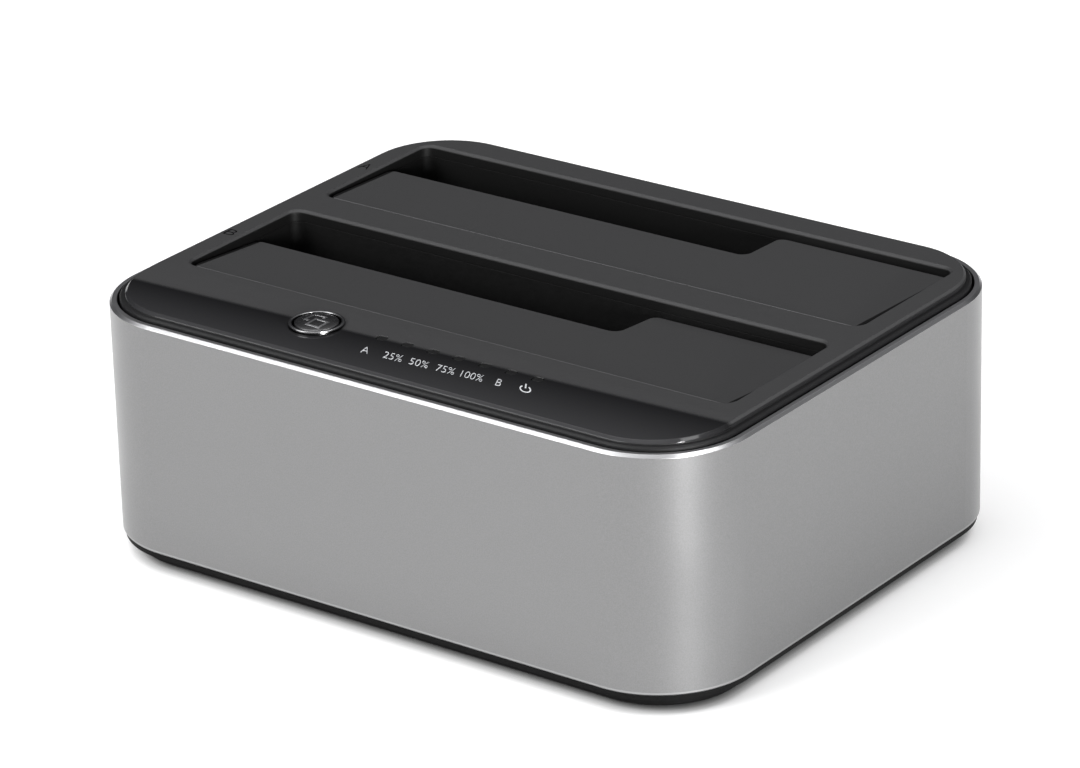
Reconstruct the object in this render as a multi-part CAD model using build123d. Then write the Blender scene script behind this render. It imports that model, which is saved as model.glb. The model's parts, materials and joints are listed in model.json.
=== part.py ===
from build123d import *
import math
import os

# Two-bay drive docking station, millimetres. The origin is on the table, under the middle of the
# outline. The front faces -Y, +X is to the right and +Z is up.

# what the bays take, and the hinge of their flaps
bay_width = 105.0
bay_depth = 28.0
bay_radius = 2.0
slot_width = 72.1
slot_depth = 10.7
hinge_setback = 2.3
hinge_drop = 3.8
flap_thickness = 1.6
flap_rib_drop = 1.1
flap_rib_width = 1.2
flap_recess = 0.45
flap_front_gap = 0.35
flap_rear_gap = 0.55
flap_side_gap = 0.35
flap_corner_radius = 1.6
flap_edge_chamfer = 0.25
flap_rib_inset = 2.5
flap_rib_front = 5.2
flap_rib_count = 3
flap_a_sag = 2.0
flap_b_sag = 4.5
knuckle_radius = 1.5
knuckle_length = 4.0
knuckle_count = 4
knuckle_from_side = 5.5
arm_reach = 5.0
arm_lap = 0.4
arm_heel = 1.2
arm_heel_drop = 0.9
pin_radius = 0.8
pin_fit = 0.01
running_gap = 0.05
pocket_gap = 0.3
spring_wire = 0.5
spring_turns = 3
spring_pitch = 0.9
spring_leg = 7.0
spring_bore_gap = 0.15
spring_steps = 12
spring_sides = 6

# the outline of the cover, from front to back and from side to side
strip_depth = 18.85
bridge_depth = 7.6
rear_margin = 6.25
side_margin = 4.25
cover_plate = 2.0
plateau_rise = 1.0
ledge_width = 0.9
ledge_rise = 0.6
cover_gap = 0.45
skirt_wall = 1.5
skirt_depth = 6.0
edge_chamfer = 0.45
rim_chamfer = 0.27
front_fall = 0.4
fall_overcut = 5.0
front_fall_start = 3.0

# the sleeve
sleeve_wall = 1.2
sleeve_radius = 16.0
sleeve_chamfer = 0.45
sleeve_foot_chamfer = 0.3

# the base and what stands on it
foot_reach = 0.7
foot_height = 2.0
foot_radius = 4.5
foot_sides = 24
foot_chamfer = 0.5
foot_inset_x = 17.0
foot_inset_y = 15.0
base_floor = 2.0
plinth_height = 2.85
plinth_inset = 2.4
plinth_chamfer = 0.4
lip_inset = 0.4
lip_height = 0.9
rib_gap = 0.3
rib_wall = 1.5
rib_height = 4.0
vent_width = 1.8
vent_length = 15.0
vent_corner = 0.5
vent_pitch = 5.2
vent_count = 7
vent_rows = (-18.0, 6.0)

# the boards
board_post = 3.1
board_post_radius = 3.0
prop_radius = 2.4
prop_x = 24.0
prop_inset = 8.0
board_thickness = 1.6
board_edge_gap = 0.6
board_well_gap = 1.1
under_well_room = 3.9
seat_gap = 0.3

# the wells
well_wall = 1.5
well_floor = 1.5
trench_depth = 9.4
flap_floor_gap = 1.05
drive_side_gap = 1.3
socket_from_drive_side = 30.1
socket_from_rear = 4.6
socket_reach = 4.4
socket_wall = 1.3
socket_key = 2.6
socket_half_depth = 2.6
socket_ear = 1.9
socket_ear_lap = 0.1
socket_ear_setback = 0.8
socket_ear_stand = 3.0
socket_end_rise = 1.6
socket_slot_depth = 5.5
socket_slot_front = 0.2
socket_slot_rear = 1.1
socket_notch_front = 1.6
socket_notch_width = 1.3
signal_contacts = 7
power_contacts = 15
contact_pitch = 1.27
contact_lead = 2.1
contact_tail = 1.2
contact_drop = 0.8
contact_width = 0.6
contact_thickness = 0.35
pad_inset = 5.0
pad_half = 2.0
pad_half_depth = 0.8

# fixings
boss_radius = 2.0
boss_inset_x = 11.8
boss_front_inset = 8.9
boss_rear_inset = 5.0
screw_radius = 0.9
screw_head_radius = 1.9
screw_head_height = 1.3
screw_hold = 7.0
screw_hole_gap = 0.2
screw_chamfer = 0.4
fixing_sides = 12
head_gap = 0.3
head_seat = 0.4
board_screw_inset = 4.0
board_screw_front = 17.5
board_screw_rear = 15.0
base_boss_height = 6.0
boss_collar = 0.9
boss_collar_rise = 1.5

# button and indicators
button_from_bay = 8.7
button_x = -19.0
ring_radius = 4.45
ring_width = 0.55
ring_stand = 0.35
ring_seat = 1.2
ring_chamfer = 0.25
cap_gap = 0.3
cap_chamfer = 0.35
cap_stand = 0.1
cap_flange = 0.5
cap_flange_height = 0.8
stem_radius = 1.9
button_travel = 0.5
window_from_bay = 7.7
window_first_x = -6.9
window_pitch = 4.96
window_count = 7
window_length = 1.7
window_depth = 1.3
window_corner = 0.3
window_gap = 0.1
front_board_drop = 7.0
front_board_thickness = 1.2
front_board_depth = 11.0
front_board_left = -30.5
front_board_right = 31.5
front_screw_inset = 2.5
front_screw_reach = 3.0
led_length = 1.6
led_width = 0.8
led_height = 0.7
guide_rim = 1.6
guide_half = 1.4
guide_bar = 1.6
push_switch_size = 6.0
push_switch_height = 3.5
push_switch_floor = 1.5
plunger_reach = 4.3

# what stands on the main board
bridge_chip_x = -2.0
bridge_chip_size = 9.0
clone_chip_x = 22.0
clone_chip_behind = 20.0
clone_chip_size = 7.0
chip_height = 0.9
front_row = 9.5
capacitors_from_left = (23.3, 31.3)
capacitor_from_right = 25.3
capacitor_radius = 3.15
capacitor_height = 8.0
capacitor_chamfer = 0.5
inductor_places = (-12.0, 24.0)
inductor_size = 6.0
inductor_height = 3.0
header_width = 10.0
header_depth = 3.6
board_header_height = 4.0
front_header_height = 3.0
ribbon_width = 8.0
ribbon_thickness = 0.8
ribbon_bow = 3.0
ribbon_bend = 4.0
cable_x = 10.0
cable_inset = 10.0

# rear connectors
panel_from_side = 14.8
panel_width = 41.5
panel_height = 8.2
panel_flange = 1.5
panel_flange_thickness = 1.0
rear_inset = 0.2
jack_from_end = 6.5
jack_width = 9.0
jack_depth = 10.2
jack_height = 6.6
jack_bore = 2.85
jack_pin = 1.05
jack_hole_gap = 0.35
usb_from_end = 20.5
usb_width = 8.94
usb_height = 3.26
usb_depth = 7.5
usb_shell = 0.3
switch_from_end = 34.5
switch_width = 8.6
switch_depth = 3.7
switch_height = 3.5
slider_width = 1.8
slider_height = 1.5
slider_travel = 2.0

# everything below follows from the values above
edge_inset = sleeve_wall + cover_gap + ledge_width
sleeve_width = bay_width + 2 * side_margin + 2 * edge_inset
sleeve_depth = strip_depth + 2 * bay_depth + bridge_depth + rear_margin + 2 * edge_inset
front_y = -sleeve_depth / 2
rear_y = sleeve_depth / 2
bay_b_front = front_y + edge_inset + strip_depth
bay_a_front = bay_b_front + bay_depth + bridge_depth
flap_reach = hinge_setback + bay_depth - flap_rear_gap
floor_top = foot_reach + base_floor
sleeve_bottom = foot_reach + plinth_height
board_bottom = floor_top + board_post
board_top = board_bottom + board_thickness
trench_under = board_top + board_well_gap
trench_top = trench_under + well_floor
hinge_z = trench_top + flap_floor_gap + flap_reach
plateau_z = hinge_z + hinge_drop
ledge_z = plateau_z - plateau_rise
sleeve_top = ledge_z - ledge_rise
plate_under = plateau_z - cover_plate
seat_under = board_top + under_well_room
seat_top = seat_under + well_floor
pocket_depth = hinge_setback + knuckle_radius + pocket_gap
button_y = bay_b_front - button_from_bay
window_y = bay_b_front - window_from_bay
front_board_top = plate_under - front_board_drop
front_board_rear = bay_b_front - pocket_depth - well_wall - 2 * seat_gap
front_board_front = front_board_rear - front_board_depth
base_boss_top = floor_top + base_boss_height
boss_x = sleeve_width / 2 - boss_inset_x
socket_x = -bay_width / 2 + drive_side_gap + socket_from_drive_side
signal_slot = contact_lead + (signal_contacts - 1) * contact_pitch + contact_tail
power_slot = contact_lead + (power_contacts - 1) * contact_pitch + contact_tail
socket_half = (2 * socket_wall + signal_slot + socket_key + power_slot) / 2
socket_end = socket_half + socket_ear
signal_left = -socket_half + socket_wall
power_left = signal_left + signal_slot + socket_key
socket_slots = ((signal_left, signal_slot, signal_contacts), (power_left, power_slot, power_contacts))
sleeve_inner_y = rear_y - sleeve_wall
panel_right = sleeve_width / 2 - panel_from_side
panel_left = panel_right - panel_width
jack_x = panel_right - jack_from_end
usb_x = panel_right - usb_from_end
switch_x = panel_right - switch_from_end
connector_y = sleeve_inner_y - 2 * seat_gap - panel_flange_thickness
jack_z = seat_under - seat_gap - jack_height / 2
usb_z = board_top + usb_height / 2
slider_z = board_top + switch_height / 2
front_board_under = front_board_top - front_board_thickness
front_screw_y = front_board_front + front_screw_reach
front_screw_places = (front_board_left + front_screw_inset, front_board_right - front_screw_inset)
cable_y = front_y + cable_inset
cable_foot = board_top + board_header_height
cable_head = front_board_under - front_header_height
flange_radius = ring_radius - ring_width + cap_flange
head_seat_z = floor_top - head_seat

os.makedirs("parts", exist_ok=True)


def block(x0, x1, y0, y1, z0, z1):
    """A box between two corners."""
    box = Box(x1 - x0, y1 - y0, z1 - z0, align=(Align.MIN, Align.MIN, Align.MIN))
    return Pos(x0, y0, z0) * box


def rounded(x0, x1, y0, y1, z0, z1, radius):
    """A box whose upright edges are rounded."""
    outline = Pos((x0 + x1) / 2, (y0 + y1) / 2, z0) * RectangleRounded(x1 - x0, y1 - y0, radius)
    return extrude(outline, z1 - z0)


def outline_block(inset, z0, z1):
    """The outline of the whole object, set in by a distance, between two heights."""
    x = sleeve_width / 2 - inset
    y = sleeve_depth / 2 - inset
    return rounded(-x, x, -y, y, z0, z1, sleeve_radius - inset)


def post(x, y, z0, z1, radius):
    """An upright round post or hole."""
    return Pos(x, y, z0) * Cylinder(radius, z1 - z0, align=(Align.CENTER, Align.CENTER, Align.MIN))


def stud(x, y, z0, z1, radius, sides=fixing_sides):
    """An upright post or hole of the repeated fixings, round but drawn with a few flat sides."""
    return Pos(x, y, z0) * extrude(RegularPolygon(radius, sides), z1 - z0)


def cut_block(x0, x1, y0, y1, z0, z1, corner):
    """A box whose upright edges are cut off."""
    return chamfer(block(x0, x1, y0, y1, z0, z1).edges().filter_by(Axis.Z), corner)


def rod(x0, x1, y, z, radius):
    """A round rod or hole along X."""
    body = Rot(0, 90, 0) * Cylinder(radius, x1 - x0, align=(Align.CENTER, Align.CENTER, Align.MIN))
    return Pos(x0, y, z) * body


def rear_rod(x, z, y0, y1, radius):
    """A round rod or hole along Y."""
    body = Rot(-90, 0, 0) * Cylinder(radius, y1 - y0, align=(Align.CENTER, Align.CENTER, Align.MIN))
    return Pos(x, y0, z) * body


def save(name, shape):
    """Write one piece, as one solid or a compound of separate solids."""
    solids = shape.solids()
    whole = solids[0] if len(solids) == 1 else Compound(children=list(solids))
    whole.label = name
    export_step(whole, "parts/" + name + ".step")


boss_places = [
    (-boss_x, front_y + boss_front_inset),
    (boss_x, front_y + boss_front_inset),
    (-boss_x, rear_y - boss_rear_inset),
    (boss_x, rear_y - boss_rear_inset),
]


def make_sleeve():
    """Extruded aluminium wrap with a bright top edge and the rear connector window."""
    sleeve = outline_block(0, sleeve_bottom, sleeve_top)
    top_edges = sleeve.faces().sort_by(Axis.Z)[-1].edges()
    sleeve = chamfer(top_edges, sleeve_chamfer)
    foot_edges = sleeve.faces().sort_by(Axis.Z)[0].edges()
    sleeve = chamfer(foot_edges, sleeve_foot_chamfer)
    sleeve -= outline_block(sleeve_wall, sleeve_bottom, sleeve_top)
    window_top = sleeve_bottom + panel_height
    sleeve -= block(panel_left, panel_right, sleeve_inner_y - 1, rear_y + 1, sleeve_bottom - 1, window_top)
    return sleeve


def make_cover():
    """Moulded top with skirt, rim, raised top, bay openings, glossy front land and bosses."""
    skirt_inset = sleeve_wall + cover_gap
    cover = outline_block(skirt_inset, sleeve_top - skirt_depth, ledge_z)
    rim_edges = cover.faces().sort_by(Axis.Z)[-1].edges()
    cover = chamfer(rim_edges, rim_chamfer)
    plateau = outline_block(edge_inset, plate_under, plateau_z)
    slope_length = strip_depth - front_fall_start
    slope_y = bay_b_front - front_fall_start
    wedge = Polyline(
        (slope_y, plateau_z),
        (slope_y - slope_length, plateau_z - front_fall),
        (slope_y - slope_length - fall_overcut, plateau_z - front_fall),
        (slope_y - slope_length - fall_overcut, plateau_z + fall_overcut),
        (slope_y, plateau_z + fall_overcut),
        close=True,
    )
    wedge_face = make_face(Plane.YZ * wedge)
    plateau -= extrude(wedge_face, sleeve_width, both=True)
    upper = plateau.edges().filter_by_position(Axis.Z, plateau_z - front_fall - 0.01, plateau_z + 0.01)
    inner = [edge for edge in upper if abs(edge.center().Y - slope_y) > 0.01]
    plateau = chamfer(inner, edge_chamfer)
    cover += plateau
    cover -= outline_block(skirt_inset + skirt_wall, sleeve_top - skirt_depth - 1, plate_under)
    for front in (bay_a_front, bay_b_front):
        x = bay_width / 2
        opening = rounded(-x, x, front, front + bay_depth, plate_under - 1, plateau_z + 1, bay_radius)
        cover -= opening
    bay_edges = []
    for edge in cover.edges().filter_by_position(Axis.Z, plateau_z - 0.01, plateau_z + 0.01):
        middle = edge.center()
        inside_x = abs(middle.X) < bay_width / 2 + 0.01
        inside_y = bay_b_front - 0.01 < middle.Y < bay_a_front + bay_depth + 0.01
        if inside_x and inside_y:
            bay_edges.append(edge)
    cover = chamfer(bay_edges, edge_chamfer)
    for x, y in boss_places:
        cover += stud(x, y, base_boss_top, plate_under + 0.5, boss_radius)
    for x in front_screw_places:
        cover += stud(x, front_screw_y, front_board_top, plate_under + 0.5, boss_radius)
    for x, y in boss_places:
        cover -= stud(x, y, base_boss_top - 1, base_boss_top + screw_hold, screw_radius + running_gap)
    for x in front_screw_places:
        hole_top = front_board_top + screw_hold - 1
        cover -= stud(x, front_screw_y, front_board_top - 1, hole_top, screw_radius + running_gap)
    cover -= post(button_x, button_y, plate_under - 1, plateau_z + 1, ring_radius - ring_width)
    cover -= post(button_x, button_y, plateau_z - ring_seat, plateau_z + 1, ring_radius)
    for index in range(window_count):
        cover -= window_block(index, plate_under - 1, plateau_z + 1, window_gap)
    return cover


def window_block(index, z0, z1, gap):
    """One small window of the indicator row, its corners cut."""
    x = window_first_x + index * window_pitch
    half_x = window_length / 2 + gap
    half_y = window_depth / 2 + gap
    y0 = window_y - half_y
    y1 = window_y + half_y
    return cut_block(x - half_x, x + half_x, y0, y1, z0, z1, window_corner)


def make_base():
    """Moulded tray: plinth, lip under the sleeve, locating rib, posts, screw bosses and vents."""
    base = outline_block(plinth_inset, foot_reach, sleeve_bottom)
    base = chamfer(base.faces().sort_by(Axis.Z)[0].edges(), plinth_chamfer)
    base += outline_block(lip_inset, sleeve_bottom - lip_height, sleeve_bottom)
    rib_inset = sleeve_wall + rib_gap
    base += outline_block(rib_inset, sleeve_bottom - lip_height, sleeve_bottom + rib_height)
    base -= outline_block(rib_inset + rib_wall, floor_top, sleeve_bottom + rib_height + 1)
    gap_left = panel_left - panel_flange - rib_gap
    gap_right = panel_right + panel_flange + rib_gap
    gap_y = rear_y - rib_inset - rib_wall
    base -= block(gap_left, gap_right, gap_y - 0.1, rear_y, sleeve_bottom, sleeve_bottom + rib_height + 1)
    for x, y in boss_places:
        base += stud(x, y, floor_top - 0.5, base_boss_top, boss_radius)
    for x, y in board_screw_places():
        base += stud(x, y, floor_top - 0.5, board_bottom, board_post_radius)
    for x in (-prop_x, prop_x):
        base += stud(x, front_y + prop_inset, floor_top - 0.5, board_bottom, prop_radius)
    for x, y in boss_places:
        base -= stud(x, y, foot_reach - 1, floor_top + 1, screw_head_radius + head_gap)
        base += stud(x, y, head_seat_z, floor_top + boss_collar_rise, boss_radius + boss_collar)
        base -= stud(x, y, foot_reach, base_boss_top + 1, screw_radius + running_gap)
    for x, y in board_screw_places():
        base -= stud(x, y, foot_reach + 1.2, board_bottom + 1, screw_radius + running_gap)
    for x, y in foot_places():
        base -= stud(x, y, foot_reach - 1, foot_height, foot_radius + 0.1, foot_sides)
    half = vent_width / 2
    for row_y in vent_rows:
        row_end = row_y + vent_length
        for index in range(vent_count):
            x = (index - (vent_count - 1) / 2) * vent_pitch
            base -= cut_block(x - half, x + half, row_y, row_end, foot_reach - 1, floor_top + 1, vent_corner)
    return base


def foot_places():
    """The four corners where the rubber feet are let in."""
    x = sleeve_width / 2 - foot_inset_x
    y = sleeve_depth / 2 - foot_inset_y
    return [(-x, -y), (x, -y), (-x, y), (x, y)]


def board_screw_places():
    """The four screws that hold the main board, under the raised well floors."""
    x = bay_width / 2 - board_screw_inset
    y_front = bay_b_front + board_screw_front
    y_rear = bay_a_front + board_screw_rear
    return [(-x, y_front), (x, y_front), (-x, y_rear), (x, y_rear)]


def make_feet():
    """Four rubber buttons, bevelled underneath."""
    feet = []
    for x, y in foot_places():
        foot = stud(x, y, 0, foot_height, foot_radius, foot_sides)
        foot = chamfer(foot.faces().sort_by(Axis.Z)[0].edges(), foot_chamfer)
        feet.append(foot)
    return Compound(children=feet)


def cross_screw(x, y, head_bottom, shank_top):
    """A pan-head screw that points up, its head underneath."""
    head = stud(x, y, head_bottom, head_bottom + screw_head_height, screw_head_radius)
    head = chamfer(head.faces().sort_by(Axis.Z)[0].edges(), screw_chamfer)
    return head + stud(x, y, head_bottom + screw_head_height, shank_top, screw_radius)


def make_base_screws():
    """Four long screws from the base up into the cover's bosses."""
    head_bottom = head_seat_z - screw_head_height
    shank_top = base_boss_top + screw_hold - 1
    screws = [cross_screw(x, y, head_bottom, shank_top) for x, y in boss_places]
    return Compound(children=screws)


def make_board_screws():
    """Four short screws that hold the main board on its posts."""
    screws = []
    for x, y in board_screw_places():
        head = stud(x, y, board_top, board_top + screw_head_height, screw_head_radius)
        head = chamfer(head.faces().sort_by(Axis.Z)[-1].edges(), screw_chamfer)
        screws.append(head + stud(x, y, foot_reach + 2.0, board_top, screw_radius))
    return Compound(children=screws)


def make_front_board_screws():
    """Two screws that hold the indicator board under the cover."""
    head_bottom = front_board_under - screw_head_height
    shank_top = front_board_top + screw_hold - 2
    screws = [cross_screw(x, front_screw_y, head_bottom, shank_top) for x in front_screw_places]
    return Compound(children=screws)


def make_well(front, relief):
    """Deep pocket for a drive: hinge pocket in front, trench for the hanging flap, drive seat."""
    rear = front + bay_depth
    x = bay_width / 2
    y0 = front - pocket_depth
    outer_x = x + well_wall
    outer_radius = bay_radius + well_wall
    y1 = rear + well_wall
    well = rounded(-outer_x, outer_x, y0 - well_wall, y1, trench_under, plate_under, outer_radius)
    seat_y = front + trench_depth
    well -= block(-outer_x - 1, outer_x + 1, seat_y + well_wall, y1 + 1, trench_under - 1, seat_under)
    well -= rounded(-x, x, y0, rear, seat_top, plate_under + 1, bay_radius)
    well -= rounded(-x, x, y0, seat_y, trench_top, seat_top + 3, bay_radius)
    hinge_y = front - hinge_setback
    well -= rod(-outer_x - 1, outer_x + 1, hinge_y, hinge_z, pin_radius + pin_fit)
    socket_y = rear - socket_from_rear
    hole_x = socket_end + 2 * seat_gap
    hole_y = socket_half_depth + 1
    hole = block(-hole_x, hole_x, -hole_y, hole_y, seat_under - 1, seat_top + 1)
    well -= Pos(socket_x, socket_y, 0) * hole
    if relief:
        reach = flange_radius + pocket_gap
        relief_z = plate_under - 2 * seat_gap - cap_flange_height - button_travel
        notch = block(-reach, reach, -well_wall - 1, 0.1, relief_z, plate_under + 1)
        well -= Pos(button_x, y0, 0) * notch
    for pad_x in (-x + pad_inset, x - pad_inset):
        for pad_y in (y0 + pad_inset, seat_y - pad_inset):
            pad = block(-pad_half, pad_half, -pad_half_depth, pad_half_depth, board_top, trench_under + 0.5)
            well += Pos(pad_x, pad_y, 0) * pad
    return well


def make_pin(front):
    """Steel hinge pin, held in the two side walls of the well."""
    x = bay_width / 2 + well_wall
    return rod(-x, x, front - hinge_setback, hinge_z, pin_radius)


def about_hinge(shape, front, sag):
    """Turn a flap piece down about its hinge by its resting angle."""
    axis = Axis((0, front - hinge_setback, hinge_z), (1, 0, 0))
    return shape.rotate(axis, -sag)


def make_flap(front, sag):
    """L-shaped flap with a corner left open for small drives, ribs, arms and hinge knuckles."""
    rear = front + bay_depth
    x0 = -bay_width / 2 + flap_side_gap
    x1 = bay_width / 2 - flap_side_gap
    y0 = front + flap_front_gap
    y1 = rear - flap_rear_gap
    top = plateau_z - flap_recess
    under = top - flap_thickness
    slot_right = -bay_width / 2 + slot_width
    slot_front = rear - slot_depth
    outline = Polyline(
        (x0, y0),
        (x1, y0),
        (x1, y1),
        (slot_right, y1),
        (slot_right, slot_front),
        (x0, slot_front),
        close=True,
    )
    plate_face = make_face(Pos(0, 0, under) * outline)
    corners = plate_face.vertices()
    plate_face = fillet(corners, flap_corner_radius)
    flap = extrude(plate_face, flap_thickness)
    flap = chamfer(flap.faces().sort_by(Axis.Z)[-1].edges(), flap_edge_chamfer)
    rib = flap_rib_width
    z0 = under - flap_rib_drop
    z1 = under + 0.2
    left = x0 + flap_rib_inset
    right = x1 - flap_rib_inset
    across = y0 + flap_rib_front
    shelf = slot_front - flap_rib_inset + rib
    back = y1 - flap_rib_inset + rib
    flap += block(left, right, shelf - rib, shelf, z0, z1)
    flap += block(slot_right + flap_rib_inset, right, back - rib, back, z0, z1)
    flap += block(left, right, across, across + rib, z0, z1)
    for index in range(flap_rib_count):
        place = left + index * (slot_right - left) / flap_rib_count
        flap += block(place, place + rib, across, shelf, z0, z1)
    for place in (slot_right + flap_rib_inset, (slot_right + x1) / 2, right - rib):
        flap += block(place, place + rib, across, back, z0, z1)
    hinge_y = front - hinge_setback
    reach = hinge_setback + flap_front_gap
    first = -bay_width / 2 + knuckle_from_side
    step = (bay_width - 2 * knuckle_from_side) / (knuckle_count - 1)
    for index in range(knuckle_count):
        place = first + index * step
        arm = Polyline(
            (hinge_y, hinge_z + knuckle_radius),
            (hinge_y + reach + 0.1, hinge_z + knuckle_radius),
            (hinge_y + reach + 0.1, under + arm_lap),
            (hinge_y + reach + arm_reach, under + arm_lap),
            (hinge_y + reach + arm_reach, under),
            (hinge_y + arm_heel, hinge_z - arm_heel_drop),
            (hinge_y, hinge_z - knuckle_radius),
            close=True,
        )
        arm_face = make_face(Plane.YZ * arm)
        half = knuckle_length / 2
        flap += Pos(place - half, 0, 0) * extrude(arm_face, knuckle_length, dir=(1, 0, 0))
        flap += rod(place - half, place + half, hinge_y, hinge_z, knuckle_radius)
    flap -= rod(x0, x1, hinge_y, hinge_z, pin_radius + running_gap)
    return about_hinge(flap, front, sag)


def make_spring(front, sag):
    """Torsion spring on the pin: one leg under the flap, one down the front wall of the well."""
    radius = pin_radius + spring_bore_gap + spring_wire / 2
    turns = spring_turns + 0.25 + sag / 360
    steps = math.ceil(turns * spring_steps)
    start = math.radians(-sag)
    sweep_angle = 2 * math.pi * turns
    left = -turns * spring_pitch / 2
    points = []
    for index in range(steps + 1):
        angle = start + sweep_angle * index / steps
        x = left + turns * spring_pitch * index / steps
        points.append(Vector(x, -radius * math.sin(angle), radius * math.cos(angle)))
    upper_leg = Vector(0, math.cos(start), math.sin(start)) * spring_leg
    lower_leg = Vector(0, 0, -spring_leg)
    path = Polyline(points[0] + upper_leg, *points, points[-1] + lower_leg)
    section = Plane(origin=path @ 0, z_dir=path % 0) * RegularPolygon(spring_wire / 2, spring_sides)
    spring = sweep(section, path=path, transition=Transition.RIGHT)
    return Pos(0, front - hinge_setback, hinge_z) * spring


def make_socket(front):
    """22-way upright drive socket with its two L-shaped slots and end posts."""
    y = front + bay_depth - socket_from_rear
    top = seat_top + socket_reach
    y0 = y - socket_half_depth
    body = block(socket_x - socket_half, socket_x + socket_half, y0, y + socket_half_depth, board_top, top)
    inner = socket_half - socket_ear_lap
    for x0, x1 in ((-socket_end, -inner), (inner, socket_end)):
        ear_y = y0 + socket_ear_setback
        ear_top = top + socket_end_rise
        body += block(socket_x + x0, socket_x + x1, ear_y, y + socket_ear_stand, board_top, ear_top)
    floor = top - socket_slot_depth
    rear = y + socket_slot_rear
    for left, length, count in socket_slots:
        x0 = socket_x + left
        body -= block(x0, x0 + length, y - socket_slot_front, rear, floor, top + 1)
        body -= block(x0, x0 + socket_notch_width, y - socket_notch_front, rear, floor, top + 1)
    return body


def make_contacts(front):
    """The 7 and 15 spring contacts inside the socket's two slots."""
    rear = front + bay_depth - socket_from_rear + socket_slot_rear
    top = seat_top + socket_reach
    floor = top - socket_slot_depth
    half = contact_width / 2
    contacts = []
    for left, length, count in socket_slots:
        for index in range(count):
            x = socket_x + left + contact_lead + index * contact_pitch
            contact = block(-half, half, -contact_thickness, 0, floor, top - contact_drop)
            contacts.append(Pos(x, rear, 0) * contact)
    return Compound(children=contacts)


def make_main_board():
    """Main board on the tray's posts, notched round the bosses and the power inlet."""
    inset = sleeve_wall + rib_gap + rib_wall + board_edge_gap
    board = outline_block(inset, board_bottom, board_top)
    notch = boss_radius + board_edge_gap
    for x, y in boss_places:
        side = boss_inset_x if x > 0 else -boss_inset_x
        x0 = min(x - notch, x + side)
        x1 = max(x + notch, x + side)
        board -= block(x0, x1, y - notch, y + notch, board_bottom - 1, board_top + 1)
    for x, y in board_screw_places():
        board -= stud(x, y, board_bottom - 1, board_top + 1, screw_radius + screw_hole_gap)
    jack_half = jack_width / 2 + seat_gap
    notch_y = connector_y - jack_depth - seat_gap
    board -= block(jack_x - jack_half, jack_x + jack_half, notch_y, rear_y, board_bottom - 1, board_top + 1)
    return board


def make_chip(x, y, size):
    """A flat square chip with a chamfered top edge."""
    half = size / 2
    chip = block(x - half, x + half, y - half, y + half, board_top, board_top + chip_height)
    return chamfer(chip.faces().sort_by(Axis.Z)[-1].edges(), 0.12)


def make_capacitors():
    """Round power capacitors standing at the front of the main board."""
    cans = []
    places = [inset - sleeve_width / 2 for inset in capacitors_from_left]
    places.append(sleeve_width / 2 - capacitor_from_right)
    for x in places:
        can = stud(x, front_y + front_row, board_top, board_top + capacitor_height, capacitor_radius)
        cans.append(chamfer(can.faces().sort_by(Axis.Z)[-1].edges(), capacitor_chamfer))
    return Compound(children=cans)


def make_inductors():
    """Two square power coils on the main board."""
    coils = []
    half = inductor_size / 2
    y = front_y + front_row
    for x in inductor_places:
        coil = block(x - half, x + half, y - half, y + half, board_top, board_top + inductor_height)
        coils.append(chamfer(coil.edges().filter_by(Axis.Z), 0.8))
    return Compound(children=coils)


def racetrack(x, y, z, width, height, depth):
    """A round-ended block that runs forward from a rear face."""
    face = Plane(origin=(x, y, z), x_dir=(1, 0, 0), z_dir=(0, -1, 0)) * SlotOverall(width, height)
    return extrude(face, depth)


def make_rear_panel():
    """Black insert that closes the sleeve's rear window round the connectors."""
    y1 = rear_y - rear_inset
    z1 = sleeve_bottom + panel_height - seat_gap
    flange_y = sleeve_inner_y - seat_gap
    flange_back = flange_y - panel_flange_thickness
    panel = block(panel_left + seat_gap, panel_right - seat_gap, flange_back, y1, sleeve_bottom, z1)
    x0 = panel_left - panel_flange
    x1 = panel_right + panel_flange
    panel += block(x0, x1, flange_back, flange_y, sleeve_bottom, z1 + panel_flange)
    panel -= rear_rod(jack_x, jack_z, flange_back - 1, rear_y + 1, jack_bore + jack_hole_gap)
    usb_gap = 2 * seat_gap
    panel -= racetrack(usb_x, rear_y + 1, usb_z, usb_width + usb_gap, usb_height + usb_gap, usb_depth)
    half_x = (slider_width + slider_travel) / 2 + seat_gap
    half_z = slider_height / 2 + seat_gap
    x0 = switch_x - half_x
    x1 = switch_x + half_x
    panel -= block(x0, x1, flange_back - 1, rear_y + 1, slider_z - half_z, slider_z + half_z)
    return panel


def make_jack():
    """Power inlet sunk in the board's notch, with its centre pin."""
    half = jack_width / 2
    bottom = jack_z - jack_height / 2
    y0 = connector_y - jack_depth
    jack = block(jack_x - half, jack_x + half, y0, connector_y, bottom, bottom + jack_height)
    jack = chamfer(jack.edges().filter_by(Axis.Y), 0.3)
    jack -= rear_rod(jack_x, jack_z, y0 + 1.2, rear_y, jack_bore)
    jack += rear_rod(jack_x, jack_z, y0 + 1, connector_y - 1, jack_pin)
    return jack


def make_usb():
    """Reversible data port: steel shell with its contact tongue."""
    y1 = rear_y - rear_inset
    port = racetrack(usb_x, y1, usb_z, usb_width, usb_height, usb_depth)
    inner_width = usb_width - 2 * usb_shell
    inner_height = usb_height - 2 * usb_shell
    port -= racetrack(usb_x, y1 + 1, usb_z, inner_width, inner_height, usb_depth)
    half = usb_width / 2 - usb_height / 2 + usb_shell
    x0 = usb_x - half
    x1 = usb_x + half
    port += block(x0, x1, y1 - usb_depth + 0.5, y1 - 0.7, usb_z - usb_shell, usb_z + usb_shell)
    return port


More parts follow.
